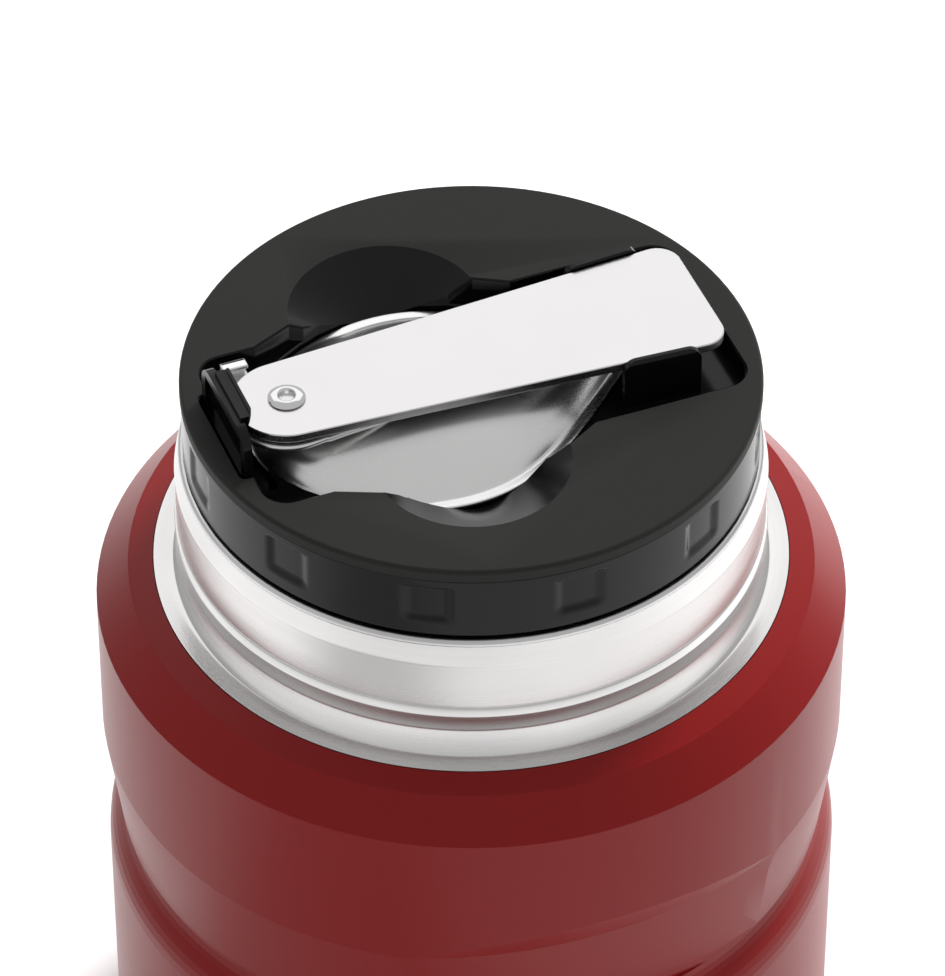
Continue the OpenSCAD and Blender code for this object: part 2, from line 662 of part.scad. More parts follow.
module spoon_bowl() {
    flat_end_x = rivet_x + 6;
    low_end_x = bowl_x - 3;
    lug_x = [rivet_x - 5.4, rivet_x - 2.2];
    lug_y = handle_r + 0.7;
    lug_w = 1.5;
    lug_web = 0.6;
    lug_h = 0.6;
    color("silver") difference() {
        union() {
            bowl_sheet();
            intersection() {
                translate([0, bowl_w / 2, 0]) rotate([90, 0, 0]) linear_extrude(bowl_w) polygon([
                    [rivet_x - far / 10, stem_top_z - stem_t], [flat_end_x, stem_top_z - stem_t],
                    [low_end_x, bowl_top_z - stem_t], [low_end_x, bowl_top_z - 0.15],
                    [flat_end_x, stem_top_z], [rivet_x - far / 10, stem_top_z]]);
                translate([0, 0, bowl_z]) linear_extrude(far / 10) stem_plan();
            }
            translate([lug_x[0], 0, stem_top_z - stem_t]) cube([lug_x[1] - lug_x[0], lug_y + lug_w, stem_t]);
            translate([lug_x[0], lug_y + lug_w - lug_web, stem_top_z - stem_t])
                cube([lug_x[1] - lug_x[0], lug_web, handle_top_z - stem_top_z + stem_t]);
            translate([lug_x[0], lug_y, handle_top_z - lug_h]) cube([lug_x[1] - lug_x[0], lug_w, lug_h]);
        }
        translate([rivet_x, 0, bowl_top_z - over]) cylinder(r = hole_r, h = 3 * over);
    }
}

module spoon_handle() {
    c0 = [rivet_x, 0];
    c1 = c0 + handle_reach;
    lean = handle_lean;
    color("gainsboro") difference() {
        translate([0, 0, handle_z]) linear_extrude(handle_t) polygon(concat(
            corner(c0, handle_r, lean, 360 - lean, 32), corner([c1[0], -c1[1]], handle_corner_r, -lean, 0, 10),
            corner(c1, handle_corner_r, 0, lean, 10)));
        translate([rivet_x, 0, handle_z - over]) cylinder(r = hole_r, h = handle_t + 2 * over);
    }
}

module spoon_rivet() {
    head_r = rivet_head_d / 2;
    dome_r = (head_r * head_r + rivet_head_h * rivet_head_h) / (2 * rivet_head_h);
    head_z = handle_top_z + running_gap;
    tail_h = 0.7;
    tail_z = stem_top_z - stem_t;
    color("silver") translate([rivet_x, 0, 0]) {
        translate([0, 0, head_z]) rotate_extrude() intersection() {
            translate([0, rivet_head_h - dome_r]) circle(r = dome_r);
            square([head_r, rivet_head_h]);
        }
        translate([0, 0, tail_z]) cylinder(r = rivet_r, h = head_z - tail_z);
        translate([0, 0, tail_z - tail_h]) cylinder(r = head_r, h = tail_h);
    }
}

module spoon_washer() {
    color("silver") translate([rivet_x, 0, 0]) ring(handle_r - 2, hole_r, stem_top_z, stem_top_z + washer_t);
}

body_shell();
neck_ring();
inner_liner();
outer_base();
vacuum_seal();
getter();
foil_wrap();
mouth_seal();
stopper_plug();
plug_cap();
plug_foam();
stopper_skirt();
stopper_deck();
spoon_tray();
spoon_latch();
spoon_bowl();
spoon_handle();
spoon_rivet();
spoon_washer();
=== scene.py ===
# %% [markdown]
# # An insulated food jar
# A vacuum jar is two thin steel vessels, one inside the other. The outer one is lacquered, and its
# bare steel neck shows between the lacquer and the plastic stopper. The stopper's deck has a recess
# with a folding spoon in it. This lesson loads the jar's solids as a fixed frame, and then replaces
# or dresses each of them, from the jar's wall up to the spoon.

# %% Load the frame
import math

import bmesh
import bpy
import numpy as np
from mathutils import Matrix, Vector
from mathutils.bvhtree import BVHTree
from mathutils.interpolate import poly_3d_calc


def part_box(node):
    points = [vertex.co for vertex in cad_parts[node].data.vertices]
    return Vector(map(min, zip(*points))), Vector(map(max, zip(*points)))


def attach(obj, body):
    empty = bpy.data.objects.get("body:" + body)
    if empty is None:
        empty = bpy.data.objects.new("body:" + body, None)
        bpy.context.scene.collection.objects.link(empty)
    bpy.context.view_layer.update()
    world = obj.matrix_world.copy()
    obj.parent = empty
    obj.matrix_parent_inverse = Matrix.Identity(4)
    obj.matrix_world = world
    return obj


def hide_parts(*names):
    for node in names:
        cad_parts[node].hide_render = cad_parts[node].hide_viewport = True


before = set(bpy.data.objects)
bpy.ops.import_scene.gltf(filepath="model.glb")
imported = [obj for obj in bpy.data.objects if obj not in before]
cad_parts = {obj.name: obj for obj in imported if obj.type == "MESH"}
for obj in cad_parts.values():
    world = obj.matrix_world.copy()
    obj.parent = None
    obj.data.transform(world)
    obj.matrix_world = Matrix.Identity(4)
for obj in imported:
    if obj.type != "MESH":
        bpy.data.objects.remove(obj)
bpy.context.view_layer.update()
MM = 0.001

# %% [markdown]
# The solids are the jar's plan, so the sizes that the lesson needs are read from their boxes. If the
# plan changes, every piece below follows it.

# %% Read the levels and radii from the solids


def top_of(node):
    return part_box(node)[1][2]


def foot_of(node):
    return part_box(node)[0][2]


def radius_of(node):
    return (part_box(node)[1][1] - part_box(node)[0][1]) / 2


deck_z = top_of("stopper_deck")
skirt_z = foot_of("stopper_skirt")
rim_z = top_of("inner_liner")
handle_z = top_of("spoon_handle")
rivet_x = sum(corner[0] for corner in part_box("spoon_washer")) / 2
print("deck at %.1f mm, rim at %.1f mm, rivet at x %.1f mm" % (deck_z / MM, rim_z / MM, rivet_x / MM))

# %% [markdown]
# The plastics' grain, the steel's rings and the skirt's recesses are all sums of simple fields.
# Sums read badly when every step is a node added by hand. This small class wraps a socket, so that
# `1 - mask * 0.3` adds the Math nodes by itself. It works in material trees and in Geometry Nodes
# trees, because both have the same Math node.

# %% A wrapper that turns Python sums into nodes


class Wire:
    def __init__(self, tree, socket):
        self.tree, self.socket = tree, socket

    def sum(self, operation, *values):
        node = self.tree.nodes.new("ShaderNodeMath")
        node.operation = operation
        for socket, value in zip(node.inputs, values):
            feed(self.tree, socket, value)
        return Wire(self.tree, node.outputs[0])

    def __add__(self, other): return self.sum("ADD", self, other)
    def __radd__(self, other): return self.sum("ADD", other, self)
    def __sub__(self, other): return self.sum("SUBTRACT", self, other)
    def __rsub__(self, other): return self.sum("SUBTRACT", other, self)
    def __mul__(self, other): return self.sum("MULTIPLY", self, other)
    def __truediv__(self, other): return self.sum("DIVIDE", self, other)
    def __gt__(self, other): return self.sum("GREATER_THAN", self, other)
    def __abs__(self): return self.sum("ABSOLUTE", self)
    def fraction(self): return self.sum("FRACT", self)
    def sine(self): return self.sum("SINE", self)
    def cosine(self): return self.sum("COSINE", self)
    def root(self): return self.sum("SQRT", self)
    def least(self, other): return self.sum("MINIMUM", self, other)
    def most(self, other): return self.sum("MAXIMUM", self, other)


def feed(tree, socket, value):
    if isinstance(value, Wire):
        tree.links.new(value.socket, socket)
    else:
        socket.default_value = value


class Tree:
    def __init__(self, tree):
        self.tree = tree

    def node(self, kind, settings=None, sockets=None):
        made = self.tree.nodes.new(kind)
        for name, value in (settings or {}).items():
            setattr(made, name, value)
        for name, value in (sockets or {}).items():
            feed(self.tree, made.inputs[name], value)
        return made

    def out(self, node, socket=0):
        return Wire(self.tree, node.outputs[socket])

    def wire(self, kind, settings=None, sockets=None):
        return self.out(self.node(kind, settings, sockets))

    def smooth(self, value, low, high, to_low=0.0, to_high=1.0):
        return self.wire("ShaderNodeMapRange", {"interpolation_type": "SMOOTHSTEP"},
                         {"Value": value, "From Min": low, "From Max": high,
                          "To Min": to_low, "To Max": to_high})


# %% [markdown]
# Every finish below starts from the same place: a Principled shader, the piece's Object coordinates
# in metres and a few noises. Object coordinates keep a grain at its real scale whatever the
# piece's size, and they stay with the piece when it moves. A noise's scale is then its number of
# cells to a metre, and 5200 cells make about five fine lines to a millimetre.

# %% Start a material
FINE = 5200.0


class Finish(Tree):
    def __init__(self, name, **fixed):
        material = bpy.data.materials.new(name)
        material.use_nodes = True
        super().__init__(material.node_tree)
        self.material = material
        self.shader = material.node_tree.nodes["Principled BSDF"]
        for socket, value in fixed.items():
            self.shader.inputs[socket.replace("_", " ")].default_value = value
        self.place = self.out(self.node("ShaderNodeTexCoord"), "Object")
        split = self.node("ShaderNodeSeparateXYZ", None, {0: self.place})
        self.x, self.y, self.z = (self.out(split, i) for i in range(3))

    def vector(self, x, y, z):
        return self.wire("ShaderNodeCombineXYZ", None, {0: x, 1: y, 2: z})

    def noise(self, scale, detail, at=None):
        return self.wire("ShaderNodeTexNoise", None,
                         {"Vector": at or self.place, "Scale": scale, "Detail": detail})

    def blend(self, share, first, second):
        mix = self.node("ShaderNodeMix", {"data_type": "RGBA"},
                        {0: share, 6: (*first, 1), 7: (*second, 1)})
        return self.out(mix, 2)

    def shades(self, share, colour, darker, lighter):
        """A blend between one colour made darker and the same colour made lighter."""
        return self.blend(share, *(tuple(min(1, part * factor) for part in colour)
                                   for factor in (darker, lighter)))

    def bump(self, height, depth, strength):
        return self.wire("ShaderNodeBump", None,
                         {"Height": height, "Distance": depth, "Strength": strength})

    def set(self, **values):
        for socket, value in values.items():
            feed(self.tree, self.shader.inputs[socket.replace("_", " ")], value)
        return self.material


# %% [markdown]
# The jar's red is a sprayed lacquer over steel. Close up it has the faint dimples of a sprayed
# coat, and from a distance its gloss wanders a little. Three noises make that: a fine one for the
# dimples, a very fine one for a few dull specks and a broad one for the gloss.

# %% The lacquer


def lacquer():
    paint = Finish("red_lacquer", IOR=1.5, Specular_IOR_Level=0.22)
    broad = paint.noise(35.0, 3.0)
    dimples = paint.noise(1400.0, 1.0)
    specks = paint.smooth(paint.noise(FINE, 0.0), 0.66, 0.74)
    colour = paint.blend(broad, (0.222, 0.0046, 0.0051), (0.247, 0.0060, 0.0064))
    return paint.set(Base_Color=colour, Roughness=0.30 + (broad - 0.5) * 0.08 + specks * 0.05,
                     Normal=paint.bump(dimples, 0.02 * MM, 0.35))


# %% [markdown]
# Turned steel carries fine rings round its axis. The rings come from a noise that is stretched
# until it hardly changes along the ring: sideways it is read at a small scale, and along height
# minus radius at a very large one, so that walls, coves and flat rims all get their rings.

# %% The turned steel


def turned_steel(name, shade, gloss, ring_depth=0.006):
    steel = Finish(name, Metallic=1.0, Anisotropic=0.7)
    radius = (steel.x * steel.x + steel.y * steel.y).root()
    across = steel.z - radius
    rings = steel.noise(1.0, 3.0, steel.vector(steel.x * 18, steel.y * 18, across * FINE))
    bands = steel.noise(1.0, 2.0, steel.vector(steel.x * 9, steel.y * 9, across * 700))
    clouds = steel.noise(1.0, 2.0, steel.vector(steel.x * 26, steel.y * 26, across * 40))
    share = rings * 0.4 + steel.smooth(clouds, 0.38, 0.62) * 0.6
    colour = steel.shades(share, shade, 0.84, 1.08)
    rough = gloss + (bands - 0.5) * 0.12 + (rings - 0.5) * 0.08
    return steel.set(Base_Color=colour, Roughness=rough, Normal=steel.bump(rings, ring_depth * MM, 0.5))


# %% [markdown]
# The spoon is stamped sheet, polished and then brushed along its length, so its lines run
# straight. The bowl is polished brighter than the handle.

# %% The spoon's steel


def brushed_steel(name, shade, gloss, lines=0.5):
    steel = Finish(name, Metallic=1.0)
    grain = steel.noise(1.0, 3.0, steel.vector(steel.x * 60, steel.y * FINE, steel.z * FINE))
    cloud = steel.noise(90.0, 2.0)
    colour = steel.shades(cloud, shade, 0.96, 1.03)
    rough = gloss + (grain - 0.5) * 0.10 * lines + (cloud - 0.5) * 0.05
    return steel.set(Base_Color=colour, Roughness=rough, Normal=steel.bump(grain, 0.003 * MM, lines))


# %% [markdown]
# The stopper is black polypropylene. Its mould is spark-eroded on the deck, which leaves a fine
# matt grain, and polished on the skirt and in the recess, which come out glossy with a slight
# waviness.

# %% The plastics


def grained_plastic(name, shade, rough, grain_depth, level):
    plastic = Finish(name, Specular_IOR_Level=level)
    grain = plastic.wire("ShaderNodeTexVoronoi", None, {"Vector": plastic.place, "Scale": 3600.0})
    cloud = plastic.noise(60.0, 3.0)
    colour = plastic.shades(cloud, shade, 0.9, 1.1)
    return plastic.set(Base_Color=colour, Roughness=rough + (cloud - 0.5) * 0.08,
                       Normal=plastic.bump(grain, grain_depth * MM, 0.3))


def polished_plastic(name, shade, rough):
    plastic = Finish(name, Specular_IOR_Level=0.24)
    waves = plastic.noise(160.0, 1.0)
    marks = plastic.noise(1.0, 2.0, plastic.vector(plastic.x * 260, plastic.y * 260, plastic.z * 60))
    colour = plastic.shades(waves, shade, 0.85, 1.15)
    return plastic.set(Base_Color=colour, Roughness=rough + (marks - 0.5) * 0.06,
                       Normal=plastic.bump(waves, 0.05 * MM, 0.25))


# %% [markdown]
# Three more finishes are for what shows only when the stopper is out, or never: the seal's
# silicone, the plug's foam and the foil round the inner vessel. A cell pattern gives the foam its
# bubbles and the foil its creases. The getter and the solder plug get turned steel in a dull grey.

# %% The hidden materials


def silicone():
    rubber = Finish("seal_silicone", Specular_IOR_Level=0.35)
    dust = rubber.noise(900.0, 2.0)
    return rubber.set(Base_Color=rubber.blend(dust, (0.36, 0.36, 0.35), (0.42, 0.42, 0.41)),
                      Roughness=0.5 + (dust - 0.5) * 0.15, Normal=rubber.bump(dust, 0.02 * MM, 0.3))


def foam():
    cells = Finish("plug_foam_cells", Specular_IOR_Level=0.2)
    bubbles = cells.wire("ShaderNodeTexVoronoi", None, {"Vector": cells.place, "Scale": 1400.0})
    return cells.set(Base_Color=cells.blend(bubbles, (0.55, 0.52, 0.42), (0.78, 0.76, 0.68)),
                     Roughness=0.9, Normal=cells.bump(bubbles, 0.2 * MM, 0.6))


def crinkled_foil():
    sheet = Finish("vacuum_foil", Metallic=1.0)
    creases = sheet.wire("ShaderNodeTexVoronoi", {"feature": "DISTANCE_TO_EDGE"},
                         {"Vector": sheet.place, "Scale": 160.0})
    return sheet.set(Base_Color=sheet.blend(creases, (0.8, 0.8, 0.82), (0.9, 0.9, 0.92)),
                     Roughness=0.18 + creases * 0.3, Normal=sheet.bump(creases, 0.4 * MM, 0.5))


# %% [markdown]
# Now each finish is mixed once and shared by its pieces. The neck is the brightest turned steel and
# the vessel inside it a little duller. The bowl's polish shows almost no lines, and the rivet's
# rolled head none. The skirt and the recess are blacker than the deck, because gloss adds its own
# light.

# %% Mix the finishes
paint = lacquer()
neck_steel = turned_steel("turned_steel", (0.80, 0.79, 0.785), 0.25)
liner_steel = turned_steel("liner_steel", (0.74, 0.74, 0.74), 0.32)
dull_metal = turned_steel("dull_metal", (0.40, 0.40, 0.41), 0.55, 0.02)
handle_steel = brushed_steel("handle_steel", (0.76, 0.745, 0.75), 0.26)
bowl_steel = brushed_steel("bowl_steel", (0.88, 0.88, 0.875), 0.28, 0.2)
rivet_steel = brushed_steel("rivet_steel", (0.80, 0.80, 0.80), 0.13, 0.1)
matt_black = grained_plastic("deck_black", (0.019, 0.019, 0.018), 0.60, 0.02, 0.2)
plug_black = grained_plastic("plug_black", (0.02, 0.02, 0.02), 0.45, 0.03, 0.4)
gloss_black = polished_plastic("gloss_black", (0.004, 0.004, 0.004), 0.16)
print("finishes:", len(bpy.data.materials))

# %% [markdown]
# Most pieces are smooth shapes, so a few helpers come first. One puts a mesh into the scene and
# rides it on its body. One turns a profile round the axis, as a lathe does, which suits the neck
# and the rivet. Two more draw the arcs and curves of such a profile.

# %% Helpers that place and turn meshes


def place(name, mesh, material, body, replaces, sharp):
    mesh.materials.clear()
    mesh.materials.append(material)
    mesh.shade_smooth()
    mesh.set_sharp_from_angle(angle=math.radians(sharp))
    piece = bpy.data.objects.new(name, mesh)
    bpy.context.scene.collection.objects.link(piece)
    for node in replaces:
        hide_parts(node)
    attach(piece, body)
    return piece


def finished(bm, name):
    """Turns every face outward and hands the shape over as a mesh."""
    bmesh.ops.recalc_face_normals(bm, faces=bm.faces)
    mesh = bpy.data.meshes.new(name)
    bm.to_mesh(mesh)
    bm.free()
    return mesh


def lathe(profile, segments, axis_x=0.0):
    """A closed profile of (radius, z) turned round a vertical axis."""
    bm = bmesh.new()
    columns = []
    for i in range(segments):
        turn = 2 * math.pi * i / segments
        c, s = math.cos(turn), math.sin(turn)
        columns.append([bm.verts.new((axis_x + r * c, r * s, z)) for r, z in profile])
    count = len(profile)
    for i in range(segments):
        here, there = columns[i], columns[(i + 1) % segments]
        for j in range(count):
            k = (j + 1) % count
            if profile[j][0] > 0 or profile[k][0] > 0:
                bm.faces.new((here[j], there[j], there[k], here[k]))
    bmesh.ops.remove_doubles(bm, verts=bm.verts, dist=1e-7)
    return finished(bm, "turned")


def arc(centre, radius, start, end, steps):
    """Points of (radius, z) on a circle, from one angle to another in degrees."""
    angles = np.radians(np.linspace(start, end, steps + 1))
    return [(centre[0] + radius * math.cos(a), centre[1] + radius * math.sin(a)) for a in angles]


def bezier(start, leave, arrive, end, steps):
    """Points of (radius, z) on a smooth curve, which two handle points pull at."""
    start, leave, arrive, end = (np.array(point, float) for point in (start, leave, arrive, end))
    line = []
    for t in np.linspace(0, 1, steps + 1):
        s = 1 - t
        line.append(tuple(s**3 * start + 3 * s * s * t * leave + 3 * s * t * t * arrive + t**3 * end))
    return line


# %% [markdown]
# A moulded piece whose plan is right already needs no new shape, only edges that catch the light.
# So a softened piece starts as a copy of its solid. Its triangles are joined, flat areas become
# single faces and a bevel rounds the sharp edges. The bevel bends the shading of the large faces
# beside it, so each corner then borrows the exact normal of the solid under it.

# %% Helpers that soften a solid
WELD = 0.002 * MM  # points closer than this are one point
ON_SURFACE = 0.03 * MM  # a corner this near to the solid lies on it
SAME_SIDE = 0.94  # the cosine between two normals that still face the same way


def mark_edges(mesh, limit, seam):
    """Marks the edges that turn by more than the limit, for the bevel to round."""
    bm = bmesh.new()
    bm.from_mesh(mesh)
    weight = bm.edges.layers.float.new("bevel_weight_edge")
    for edge in bm.edges:
        at_seam = seam is not None and all(abs(vert.co.z - seam) < 0.01 * MM for vert in edge.verts)
        turns = edge.is_manifold and edge.calc_face_angle() > math.radians(limit)
        edge[weight] = 1.0 if turns and not at_seam else 0.0
    bm.to_mesh(mesh)
    bm.free()


def borrow_normals(mesh, source):
    """Gives each corner the exact normal of the solid's surface, where it lies on that surface."""
    source.calc_loop_triangles()
    spots = [vert.co for vert in source.vertices]
    triangles = [tuple(tri.vertices) for tri in source.loop_triangles]
    corners = [tuple(tri.loops) for tri in source.loop_triangles]
    exact = [normal.vector.copy() for normal in source.corner_normals]
    tree = BVHTree.FromPolygons(spots, triangles)
    normals = [normal.vector.copy() for normal in mesh.corner_normals]
    for face in mesh.polygons:
        for loop in face.loop_indices:
            at = mesh.vertices[mesh.loops[loop].vertex_index].co
            spot, _, index, gap = tree.find_nearest(at.lerp(face.center, 0.03))
            if index is None or gap > ON_SURFACE:
                continue
            shares = poly_3d_calc([spots[i] for i in triangles[index]], spot)
            normal = sum((exact[c] * share for c, share in zip(corners[index], shares)), Vector())
            normal.normalize()
            if normal.dot(face.normal) > SAME_SIDE:
                normals[loop] = normal
    mesh.normals_split_custom_set(normals)


def softened(node, name, material, body, edge=0.0, sharp=35, limit=30, steps=2, seam=None):
    """A copy of a solid with flat faces in one piece, rounded edges and the solid's own normals.
    Edges that lie at the seam's height, where two pieces meet, stay as they are."""
    bm = bmesh.new()
    bm.from_mesh(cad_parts[node].data)
    bmesh.ops.remove_doubles(bm, verts=bm.verts, dist=WELD)
    bmesh.ops.dissolve_limit(bm, angle_limit=math.radians(0.3), verts=bm.verts, edges=bm.edges)
    mesh = bpy.data.meshes.new(name)
    bm.to_mesh(mesh)
    bm.free()
    if "custom_normal" in mesh.attributes:
        mesh.attributes.remove(mesh.attributes["custom_normal"])
    piece = place(name, mesh, material, body, [node], sharp)
    if edge:
        bevel = piece.modifiers.new("rounded edges", "BEVEL")
        bevel.width, bevel.segments, bevel.limit_method = edge, steps, "WEIGHT"
        mark_edges(mesh, limit, seam)
        bpy.context.view_layer.update()
        ready = piece.evaluated_get(bpy.context.evaluated_depsgraph_get())
        rounded = bpy.data.meshes.new_from_object(ready)
        piece.modifiers.clear()
        piece.data = rounded
    borrow_normals(piece.data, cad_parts[node].data)
    return piece


# %% [markdown]
# The outer wall is spun and then pressed at the front, where a flatter panel cuts across the
# taper. The solid has that shape already, so the wall is a softened copy of it. Pressed steel has
# no crisp edges, so even the faint ones are rounded here.

# %% The lacquered wall
wall = softened("body_shell", "lacquered_wall", paint, "jar",
                edge=0.35 * MM, sharp=40, limit=12, steps=3)
print("wall:", len(wall.data.polygons), "faces")

# %% [markdown]
# The neck is one turned profile: two bands that meet at a slight angle, a flat bead, a cove and a
# flare that ends at the lacquer. A lathe profile gives full control over each of these. Points
# set close beside an edge keep it crisp, and the surface between them stays smooth.

# %% The steel neck
neck_r, lap_r = 36.65 * MM, radius_of("neck_ring")
sheet_t = 0.8 * MM
neck_foot = foot_of("neck_ring")
paint_z = neck_foot + 3 * MM
step_z = rim_z - 3.5 * MM
bead_z, bead_h = step_z - 6.95 * MM, 1.5 * MM
bead_foot = bead_z - bead_h
flare_z, lip_z = paint_z + 3.4 * MM, paint_z + 0.12 * MM


def on_neck(level, *points):
    """Points in mm: how far outside the neck's radius, and how far above a level."""
    return [(neck_r + out * MM, level + up * MM) for out, up in points]


def inside(points):
    return [(r - sheet_t, z) for r, z in reversed(points)]


bands = (on_neck(rim_z, (-0.57, -0.65), (-0.48, -1.05), (-0.45, -1.2))
         + on_neck(step_z, (-0.03, 0.2), (0, 0), (-0.02, -0.15), (-0.03, -0.3))
         + on_neck((step_z + bead_z) / 2, (-0.06, 0))
         + on_neck(bead_z, (-0.09, 0.35), (-0.1, 0.15), (-0.32, 0.06), (-0.32, 0)))
bead = (on_neck(bead_z, (-0.05, -0.12), (0.06, -0.3))
        + on_neck(bead_foot, (0.2, 0.25), (0.14, 0.08), (-0.3, 0)))
cove = (on_neck(bead_foot - 0.2 * MM, (-0.35, 0), (-0.37, -0.15))
        + on_neck(flare_z, (-0.49, 0.25), (-0.5, 0)))
flare = bezier(*on_neck(flare_z, (-0.5, 0), (-0.36, -1)), *on_neck(lip_z, (0.15, 1), (0.55, 0)), 14)
lip = bezier(*on_neck(lip_z, (0.55, 0), (0.72, -0.1)), *on_neck(paint_z, (1.2, 0)), (lap_r, paint_z), 10)
neck_profile = (bands + bead + cove + flare[1:] + lip[1:]
                + [(lap_r, neck_foot), (lap_r - sheet_t, neck_foot)]
                + inside(lip) + inside(flare)[1:] + inside(cove)[1:]
                + [(neck_r - 0.5 * MM - sheet_t, top_of("neck_ring"))])
place("steel_neck", lathe(neck_profile, 320), neck_steel, "jar", ["neck_ring"], sharp=25)
print("neck profile:", len(neck_profile), "points")

# %% [markdown]
# The inner vessel, with its rolled rim and food chamber, and the base plate with the foot ring are
# spun steel too. Little of them shows, so they are softened copies.

# %% The inner vessel and the base
vessel = softened("inner_liner", "inner_vessel", liner_steel, "jar")
softened("outer_base", "base_plate", liner_steel, "jar", edge=0.25 * MM)
print("vessel:", len(vessel.data.polygons), "faces")

# %% [markdown]
# The plug's thread and the mouth's thread are ridges that follow a helix. Geometry Nodes make
# both from one tree: a spiral curve, a round section swept along it, and a scale that fades
# out at both ends, as a rolled thread does. One tree keeps both at the same lead, so they mesh.

# %% A thread as a Geometry Nodes tree


def new_group(name):
    group = bpy.data.node_groups.new(name, "GeometryNodeTree")
    group.interface.new_socket("Geometry", in_out="OUTPUT", socket_type="NodeSocketGeometry")
    return group


def inputs(group, *names):
    """Gives a tree its number inputs and a material input, and returns their wires."""
    for name in names:
        group.interface.new_socket(name, in_out="INPUT", socket_type="NodeSocketFloat")
    group.interface.new_socket("Material", in_out="INPUT", socket_type="NodeSocketMaterial")
    given = group.nodes.new("NodeGroupInput")
    return [Wire(group, given.outputs[i]) for i in range(len(names) + 1)]


def end_tree(tree, geometry, material):
    """Makes the geometry real, gives it its material and hands it out."""
    whole = tree.wire("GeometryNodeRealizeInstances", None, {"Geometry": geometry})
    done = tree.wire("GeometryNodeSetMaterial", None, {"Geometry": whole, "Material": material})
    feed(tree.tree, tree.node("NodeGroupOutput").inputs[0], done)
    return tree.tree


def thread_tree():
    group = new_group("thread ridge")
    radius, lead, turns, start, ridge, material = inputs(group, "Radius", "Lead", "Turns", "Start", "Ridge")
    tree = Tree(group)
    helix = tree.wire("GeometryNodeCurveSpiral", None, {
        "Resolution": 96, "Rotations": turns, "Start Radius": radius, "End Radius": radius,
        "Height": lead * turns, "Reverse": False})
    along = tree.out(tree.node("GeometryNodeSplineParameter"), "Factor")
    ends = tree.smooth(along.least(1 - along), 0.0, 0.09, 0.25, 1.0)
    section = tree.wire("GeometryNodeCurvePrimitiveCircle", None, {"Resolution": 12, "Radius": ridge})
    swept = tree.wire("GeometryNodeCurveToMesh", None, {
        "Curve": helix, "Profile Curve": section, "Scale": ends, "Fill Caps": True})
    raised = tree.wire("GeometryNodeTransform", None, {
        "Geometry": swept, "Translation": tree.wire("ShaderNodeCombineXYZ", None, {2: start})})
    return end_tree(tree, raised, material)


def grown(group, values, name):
    """Runs a tree once and returns its result as a plain mesh."""
    seed = bpy.data.objects.new(name, bpy.data.meshes.new(name))
    bpy.context.scene.collection.objects.link(seed)
    modifier = seed.modifiers.new("tree", "NODES")
    modifier.node_group = group
    identifiers = {item.name: item.identifier
                   for item in group.interface.items_tree if item.in_out == "INPUT"}
    for key, value in values.items():
        modifier[identifiers[key]] = value
    seed.update_tag()
    bpy.context.view_layer.update()
    mesh = bpy.data.meshes.new_from_object(seed.evaluated_get(bpy.context.evaluated_depsgraph_get()))
    bpy.data.objects.remove(seed)
    return mesh


# %% The two threads
thread = thread_tree()
LEAD, TURNS = 8 * MM, 1.2


def thread_ridge(name, radius, below_rim, ridge, material, body):
    mesh = grown(thread, {"Radius": radius, "Lead": LEAD, "Turns": TURNS, "Start": rim_z - below_rim,
                          "Ridge": ridge, "Material": material}, name)
    return place(name, mesh, material, body, [], sharp=60)


plug_ridge = thread_ridge("plug_thread", 31.0 * MM, 11.3 * MM, 1.1 * MM,
                          plug_black, "stopper")
mouth_ridge = thread_ridge("mouth_thread", 32.75 * MM, 15.3 * MM, 1.2 * MM,
                           liner_steel, "jar")
print("thread ridges:", len(plug_ridge.data.polygons), "and", len(mouth_ridge.data.polygons), "faces")

# %% [markdown]
# The skirt is the stopper's grip: a short black tube with shallow rounded recesses at even
# steps. Its whole surface follows one rule, so a tree bends a flat grid into the tube and
# presses the recesses in with smooth masks. Each recess has a crisp upper edge and runs out softly
# at its sides and foot. The grid's first direction runs round the tube and its second runs up the
# outside and down the inside.

# %% The skirt as a Geometry Nodes tree
OUTSIDE, INSIDE, CLOSING = 0.8, 0.18, 0.99  # shares of the grid, and where its last row closes the tube
COLUMNS, ROWS = 961, 81


